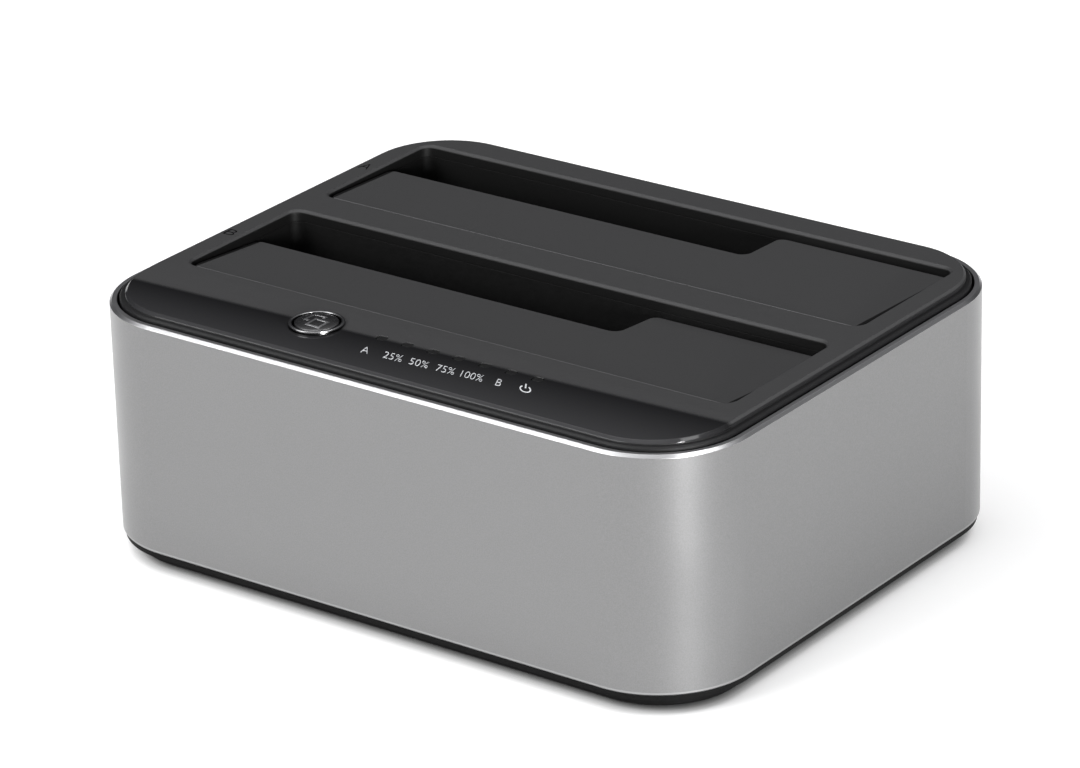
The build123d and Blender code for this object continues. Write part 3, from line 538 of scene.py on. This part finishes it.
def ribbonFinish():
    look = ribbonLook
    mat, tree, shader = startFinish("ribbonGrey", look["colour"], 0.0, 0.5)
    place = addNode(tree, "ShaderNodeTexCoord")
    bands = addNode(tree, "ShaderNodeTexWave", {"wave_type": "BANDS", "bands_direction": "X"},
                    {"Scale": look["bands"], "Distortion": 0.0})
    tree.links.new(place.outputs["Object"], bands.inputs["Vector"])
    wires = mapTo(tree, bands.outputs["Fac"], 0.0, 1.0, 0.0, 0.5)
    # painted shade: the grooves between the wires are painted darker
    tree.links.new(mixColour(tree, wires, look["grooveShade"], look["colour"]), shader.inputs["Base Color"])
    tree.links.new(mapTo(tree, noiseOn(tree, 900.0), 0.42, 0.55), shader.inputs["Roughness"])
    roughen(tree, shader, wires, look["depth"])
    return mat


capacitorLook = {
    "sleeve": (0.020, 0.022, 0.030),
    "can": (0.62, 0.62, 0.63),
    "rim": 0.30 * mm,
}


def capacitorFinish():
    look = capacitorLook
    mat, tree, shader = startFinish("capacitorCan", look["sleeve"], 0.0, 0.3)
    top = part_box("power_capacitors")[1][2]
    bare = mapTo(tree, axisValue(tree, "Z"), 0.0, 1.0, top - look["rim"] - 0.02 * mm, top - look["rim"])
    tree.links.new(mixColour(tree, bare, look["sleeve"], look["can"]), shader.inputs["Base Color"])
    tree.links.new(bare, shader.inputs["Metallic"])
    cloud = noiseOn(tree, 1200.0)
    tree.links.new(mapTo(tree, cloud, 0.26, 0.36), shader.inputs["Roughness"])
    roughen(tree, shader, cloud, 0.004 * mm)
    return mat


inkLook = {"colour": (0.50, 0.51, 0.53), "pale": (0.60, 0.61, 0.63), "grain": 9000.0}


def inkFinish(name, colour, pale, specular):
    mat, tree, shader = startFinish(name, colour, 0.0, 0.55, specular)
    grain = noiseOn(tree, inkLook["grain"], 2.0)
    tree.links.new(mixColour(tree, mapTo(tree, grain, 0.0, 1.0), colour, pale), shader.inputs["Base Color"])
    tree.links.new(mapTo(tree, grain, 0.5, 0.62), shader.inputs["Roughness"])
    return mat


finishOf = {
    "sleeve_aluminium": sleeveFinish(),
    "cover_plastic": coverFinish(),
    "well_plastic": plasticFinish("wellPlastic"),
    "base_plastic": plasticFinish("basePlastic"),
    "connector_plastic": plasticFinish("connectorPlastic"),
    "slider_plastic": plasticFinish("sliderPlastic"),
    "chip_plastic": plasticFinish("chipPlastic"),
    "header_plastic": plasticFinish("headerPlastic"),
    "inductor_body": plasticFinish("inductorBody"),
    "foot_rubber": plasticFinish("footRubber"),
    "led_body": plasticFinish("ledBody"),
    "window_plastic": plasticFinish("windowPlastic"),
    "screw_steel": metalFinish("blackScrew"),
    "pin_steel": metalFinish("groundPin"),
    "spring_steel": metalFinish("springSteel"),
    "contact_gold": metalFinish("contactGold"),
    "port_steel": metalFinish("portSteel"),
    "ring_chrome": metalFinish("ringChrome"),
    "button_metal": metalFinish("buttonMetal"),
    "board_laminate": boardFinish(),
    "ribbon_plastic": ribbonFinish(),
    "capacitor_can": capacitorFinish(),
}
flapFinishes = {name: flapFinish(name) for name in ("flap_a", "flap_b")}

for part in frame["record"]["subparts"]:
    node = frame["nodes"][part["node"]]
    node.data.materials.clear()
    node.data.materials.append(flapFinishes.get(part["node"]) or finishOf[part["material_slot"]])


# Turned pieces: the button, its ring, the feet and the base screws

def clearSelection():
    if bpy.context.object and bpy.context.object.mode != "OBJECT":
        bpy.ops.object.mode_set(mode="OBJECT")
    bpy.ops.object.select_all(action="DESELECT")


def turnPiece(name, centre, profile, segments, closed):
    # a ring of points is drawn up through the profile's radii and heights
    clearSelection()
    fill = "NOTHING" if closed else "NGON"
    x, y = centre
    radius, height = profile[0]
    place = (x, y, height)
    bpy.ops.mesh.primitive_circle_add(vertices=segments, radius=radius, fill_type=fill, location=place)
    piece = bpy.context.object
    piece.name = name
    bpy.ops.object.mode_set(mode="EDIT")
    bpy.ops.mesh.select_all(action="SELECT")
    for nextRadius, nextHeight in profile[1:]:
        step = (0, 0, nextHeight - height)
        if closed:
            bpy.ops.mesh.extrude_edges_move(TRANSFORM_OT_translate={"value": step})
        else:
            bpy.ops.mesh.extrude_region_move(TRANSFORM_OT_translate={"value": step})
        grow = nextRadius / radius
        bpy.ops.transform.resize(value=(grow, grow, 1), center_override=(x, y, nextHeight))
        radius, height = nextRadius, nextHeight
    bpy.ops.mesh.select_all(action="SELECT")
    bpy.ops.mesh.remove_doubles(threshold=0.0001 * mm)
    bpy.ops.mesh.normals_make_consistent(inside=False)
    bpy.ops.object.mode_set(mode="OBJECT")
    bpy.ops.object.transform_apply(location=True, rotation=True, scale=True)
    bpy.ops.object.shade_smooth_by_angle(angle=radians(32))
    return piece


def dress(piece, finish, body):
    piece.data.materials.clear()
    piece.data.materials.append(finish)
    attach(piece, body)


def useModifier(piece, kind, **settings):
    clearSelection()
    bpy.context.view_layer.objects.active = piece
    piece.select_set(True)
    step = piece.modifiers.new(kind.lower(), kind)
    for key, value in settings.items():
        setattr(step, key, value)
    bpy.ops.object.modifier_apply(modifier=step.name)


def joinPieces(pieces, name):
    clearSelection()
    for piece in pieces:
        piece.select_set(True)
    bpy.context.view_layer.objects.active = pieces[0]
    bpy.ops.object.join()
    pieces[0].name = name
    return pieces[0]


def copyAt(piece, shift):
    clearSelection()
    piece.select_set(True)
    bpy.context.view_layer.objects.active = piece
    bpy.ops.object.duplicate(linked=False)
    twin = bpy.context.object
    twin.location = shift
    bpy.ops.object.transform_apply(location=True, rotation=False, scale=False)
    return twin


ringLow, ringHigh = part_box("button_ring")
buttonX = (ringLow[0] + ringHigh[0]) / 2
buttonY = (ringLow[1] + ringHigh[1]) / 2
ring = {"outer": (ringHigh[0] - ringLow[0]) / 2, "wall": 0.55 * mm, "crown": 0.14 * mm, "points": 8}
face = {"radius": 3.52 * mm, "rim": 0.10 * mm, "rise": 0.30 * mm, "steps": 12, "seat": 0.02 * mm}


def makeRing():
    middle = ring["outer"] - ring["wall"] / 2
    crownZ = ringHigh[2] - ring["crown"]
    profile = [(ring["outer"], ringLow[2])]
    for index in range(ring["points"] + 1):
        angle = pi * index / ring["points"]
        profile.append((middle + ring["wall"] / 2 * cos(angle), crownZ + ring["crown"] * sin(angle)))
    profile.append((ring["outer"] - ring["wall"], ringLow[2]))
    profile.append((ring["outer"], ringLow[2]))
    piece = turnPiece("bright_ring", (buttonX, buttonY), profile, 96, True)
    dress(piece, finishOf["ring_chrome"], "housing")
    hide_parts("button_ring")


def makeFace():
    # a shallow metallised dome set on the button's cap
    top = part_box("clone_button")[1][2] + face["seat"]
    profile = [(face["radius"], top - face["seat"]), (face["radius"], top + face["rim"] * 0.4)]
    for index in range(1, face["steps"]):
        angle = pi / 2 * index / face["steps"]
        profile.append((face["radius"] * cos(angle), top + face["rim"] * 0.4 + face["rise"] * sin(angle)))
    piece = turnPiece("button_face", (buttonX, buttonY), profile, 96, False)
    dress(piece, finishOf["button_metal"], "clone_button")
    return piece


icon = {"side": 2.75 * mm, "line": 0.38 * mm, "offset": 0.72 * mm, "turn": radians(2.0), "lift": 0.03 * mm}


def squareFrame(name, x, y, side, line, z):
    clearSelection()
    bpy.ops.mesh.primitive_plane_add(size=side, location=(x, y, z))
    piece = bpy.context.object
    piece.name = name
    bpy.ops.object.mode_set(mode="EDIT")
    bpy.ops.mesh.select_all(action="SELECT")
    bpy.ops.mesh.inset(thickness=line, depth=0)
    bpy.ops.mesh.delete(type="FACE")
    bpy.ops.mesh.select_all(action="SELECT")
    bpy.ops.mesh.subdivide(number_cuts=5)
    bpy.ops.object.mode_set(mode="OBJECT")
    bpy.ops.object.transform_apply(location=True, rotation=True, scale=True)
    return piece


def makeIcon(dome):
    # two squares, one behind the other, as on any copy key
    z = ringHigh[2] + 2 * mm
    shift = icon["offset"]
    near = squareFrame("copy_mark", buttonX + shift, buttonY - shift, icon["side"], icon["line"], z)
    far = squareFrame("copyMarkFar", buttonX - shift, buttonY + shift, icon["side"], icon["line"], z)
    edge = icon["side"] / 2 + icon["line"]
    clearSelection()
    bpy.context.view_layer.objects.active = far
    far.select_set(True)
    bpy.ops.object.mode_set(mode="EDIT")
    bpy.ops.mesh.select_all(action="DESELECT")
    bpy.ops.object.mode_set(mode="OBJECT")
    for part in far.data.polygons:
        hiddenX = part.center.x > buttonX + shift - edge
        hiddenY = part.center.y < buttonY - shift + edge
        part.select = hiddenX and hiddenY
    bpy.ops.object.mode_set(mode="EDIT")
    bpy.ops.mesh.delete(type="FACE")
    bpy.ops.object.mode_set(mode="OBJECT")
    piece = joinPieces([near, far], "copy_mark")
    useModifier(piece, "SHRINKWRAP", wrap_method="PROJECT", target=dome, use_project_z=True,
                use_negative_direction=True, use_positive_direction=False, offset=icon["lift"])
    useModifier(piece, "SOLIDIFY", thickness=0.05 * mm, offset=-1.0)
    dress(piece, metalFinish("iconMetal"), "clone_button")


feet = {"radius": 4.5 * mm, "round": 0.6 * mm, "dish": 0.25 * mm, "dishRadius": 3.1 * mm, "points": 5}


def makeFeet():
    low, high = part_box("rubber_feet")
    x = high[0] - feet["radius"]
    y = high[1] - feet["radius"]
    profile = [(feet["radius"], high[2]), (feet["radius"], low[2] + feet["round"])]
    for index in range(1, feet["points"] + 1):
        angle = pi / 2 * index / feet["points"]
        r = feet["radius"] - feet["round"] * (1 - cos(angle))
        profile.append((r, low[2] + feet["round"] * (1 - sin(angle))))
    profile.append((feet["dishRadius"], low[2]))
    profile.append((feet["dishRadius"] - feet["dish"], low[2] + feet["dish"]))
    profile.append((0.2 * mm, low[2] + feet["dish"]))
    first = turnPiece("foot_set", (-x, -y), profile, 64, False)
    others = [copyAt(first, shift) for shift in ((2 * x, 0, 0), (0, 2 * y, 0), (2 * x, 2 * y, 0))]
    piece = joinPieces([first] + others, "foot_set")
    dress(piece, finishOf["foot_rubber"], "housing")
    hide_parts("rubber_feet")


screw = {"head": 1.9 * mm, "crown": 0.45 * mm, "headHeight": 1.3 * mm, "shank": 0.9 * mm,
         "cross": 2.3 * mm, "slot": 0.42 * mm, "recess": 0.75 * mm, "points": 5}


def makeScrews():
    low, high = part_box("base_screws")
    x0, x1 = low[0] + screw["head"], high[0] - screw["head"]
    y0, y1 = low[1] + screw["head"], high[1] - screw["head"]
    under = low[2] + screw["headHeight"]
    profile = [(0.4 * screw["shank"], high[2]), (screw["shank"], high[2] - 0.5 * mm), (screw["shank"], under),
               (screw["head"], under), (screw["head"], low[2] + screw["crown"])]
    for index in range(1, screw["points"] + 1):
        angle = pi / 2 * index / screw["points"]
        r = screw["head"] * (0.62 + 0.38 * cos(angle))
        profile.append((r, low[2] + screw["crown"] * (1 - sin(angle))))
    profile.append((0.1 * mm, low[2]))
    first = turnPiece("base_screw_set", (x0, y0), profile, 48, False)
    for wide, deep in ((screw["cross"], screw["slot"]), (screw["slot"], screw["cross"])):
        clearSelection()
        bpy.ops.mesh.primitive_cube_add(size=1, location=(x0, y0, low[2]))
        cutter = bpy.context.object
        cutter.scale = (wide, deep, 2 * screw["recess"])
        bpy.ops.object.transform_apply(location=True, rotation=True, scale=True)
        useModifier(first, "BOOLEAN", operation="DIFFERENCE", object=cutter, solver="EXACT")
        bpy.data.objects.remove(cutter)
    shifts = ((x1 - x0, 0, 0), (0, y1 - y0, 0), (x1 - x0, y1 - y0, 0))
    others = [copyAt(first, shift) for shift in shifts]
    piece = joinPieces([first] + others, "base_screw_set")
    dress(piece, finishOf["screw_steel"], "housing")
    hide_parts("base_screws")


makeRing()
makeIcon(makeFace())
makeFeet()
makeScrews()
print("button, ring, feet and screws made")


# Printed legends and moulded letters

land = {"start": -28.5 * mm, "top": coverTop, "fall": 0.4 * mm, "length": 15.85 * mm}
legends = {
    "row": -37.6 * mm,
    "first": -6.0 * mm,
    "pitch": 4.90 * mm,
    "height": 2.1 * mm,
    "lean": -0.6,
    "thin": -0.016,
    "tilt": radians(2.0),
    "thickness": 0.03 * mm,
    "words": (("A", 1.6), ("25%", 4.1), ("50%", 4.1), ("75%", 4.1), ("100%", 4.7), ("B", 1.6)),
    "powerRing": 1.06 * mm,
    "powerLine": 0.26 * mm,
    "powerGap": radians(76),
    "powerBar": 1.30 * mm,
}
bayLetters = {
    "x": -54.75 * mm,
    "size": (1.9 * mm, 2.2 * mm, 0.03 * mm),
    "places": (("A", 24.2 * mm), ("B", -11.5 * mm)),
    "colour": (0.003, 0.003, 0.003),
    "pale": (0.006, 0.006, 0.006),
}


def landHeight(y):
    past = max(0.0, land["start"] - y)
    return land["top"] - land["fall"] * past / land["length"]


def landSlope():
    return atan2(land["fall"], land["length"])


def makeWords(name, words, place, size, turn, lean, finish, body):
    clearSelection()
    bpy.ops.object.text_add(location=(0, 0, 0))
    piece = bpy.context.object
    piece.name = name
    piece.data.body = words
    piece.data.shear = lean
    piece.data.extrude = 0.05
    piece.data.offset = legends["thin"]
    piece.data.resolution_u = 6
    bpy.ops.object.convert(target="MESH")
    bpy.ops.object.origin_set(type="ORIGIN_GEOMETRY", center="BOUNDS")
    wide, tall, thick = piece.dimensions
    piece.scale = (size[0] / wide, size[1] / tall, size[2] / thick)
    piece.rotation_euler = turn
    piece.location = place
    bpy.ops.object.transform_apply(location=True, rotation=True, scale=True)
    dress(piece, finish, body)
    return piece


def makePowerMark(place, turn, finish):
    # an open ring swept from a short strip, with a bar through the gap
    clearSelection()
    line = legends["powerLine"]
    bpy.ops.mesh.primitive_plane_add(size=1, location=(0, 0, 0))
    arc = bpy.context.object
    arc.name = "legend_7"
    arc.scale = (line, 0.0001 * mm, 1)
    arc.location = (legends["powerRing"] - line / 2, 0, 0)
    bpy.ops.object.transform_apply(location=True, rotation=True, scale=True)
    bpy.ops.object.mode_set(mode="EDIT")
    bpy.ops.mesh.select_all(action="SELECT")
    bpy.ops.mesh.remove_doubles(threshold=0.001 * mm)
    sweep = 2 * pi - legends["powerGap"]
    bpy.ops.mesh.spin(steps=28, angle=-sweep, center=(0, 0, 0), axis=(0, 0, 1))
    bpy.ops.object.mode_set(mode="OBJECT")
    arc.rotation_euler = (0, 0, pi / 2 + legends["powerGap"] / 2)
    bpy.ops.object.transform_apply(location=True, rotation=True, scale=True)
    clearSelection()
    bpy.ops.mesh.primitive_plane_add(size=1, location=(0, legends["powerRing"] - line / 2, 0))
    bar = bpy.context.object
    bar.scale = (line, legends["powerBar"], 1)
    bpy.ops.object.transform_apply(location=True, rotation=True, scale=True)
    piece = joinPieces([arc, bar], "legend_7")
    useModifier(piece, "SOLIDIFY", thickness=legends["thickness"], offset=0.0)
    leaning = Matrix.Identity(4)
    leaning[0][1] = legends["lean"]
    piece.data.transform(leaning)
    piece.rotation_euler = turn
    piece.location = place
    clearSelection()
    piece.select_set(True)
    bpy.context.view_layer.objects.active = piece
    bpy.ops.object.transform_apply(location=True, rotation=True, scale=True)
    dress(piece, finish, "housing")


legendInk = inkFinish("legendInk", inkLook["colour"], inkLook["pale"], 0.4)
y = legends["row"]
turn = (landSlope(), 0.0, legends["tilt"])
for index in range(len(legends["words"]) + 1):
    x = legends["first"] + index * legends["pitch"]
    lift = (index - 3) * legends["pitch"] * sin(legends["tilt"])
    place = (x, y + lift, landHeight(y + lift) + legends["thickness"] / 2)
    if index == len(legends["words"]):
        makePowerMark(place, turn, legendInk)
        break
    words, width = legends["words"][index]
    size = (width * mm, legends["height"], legends["thickness"])
    name = "legend_" + str(index + 1)
    makeWords(name, words, place, size, turn, legends["lean"], legendInk, "housing")

letterInk = inkFinish("letterInk", bayLetters["colour"], bayLetters["pale"], 0.02)
for words, y in bayLetters["places"]:
    place = (bayLetters["x"], y, coverTop + bayLetters["size"][2] / 2)
    name = "bay_letter_" + words.lower()
    makeWords(name, words, place, bayLetters["size"], (0, 0, 0), 0.0, letterInk, "housing")
print("legends and letters printed")

size = {"cad": [list(corner) for corner in cadBox], "scene": [list(corner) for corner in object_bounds()]}
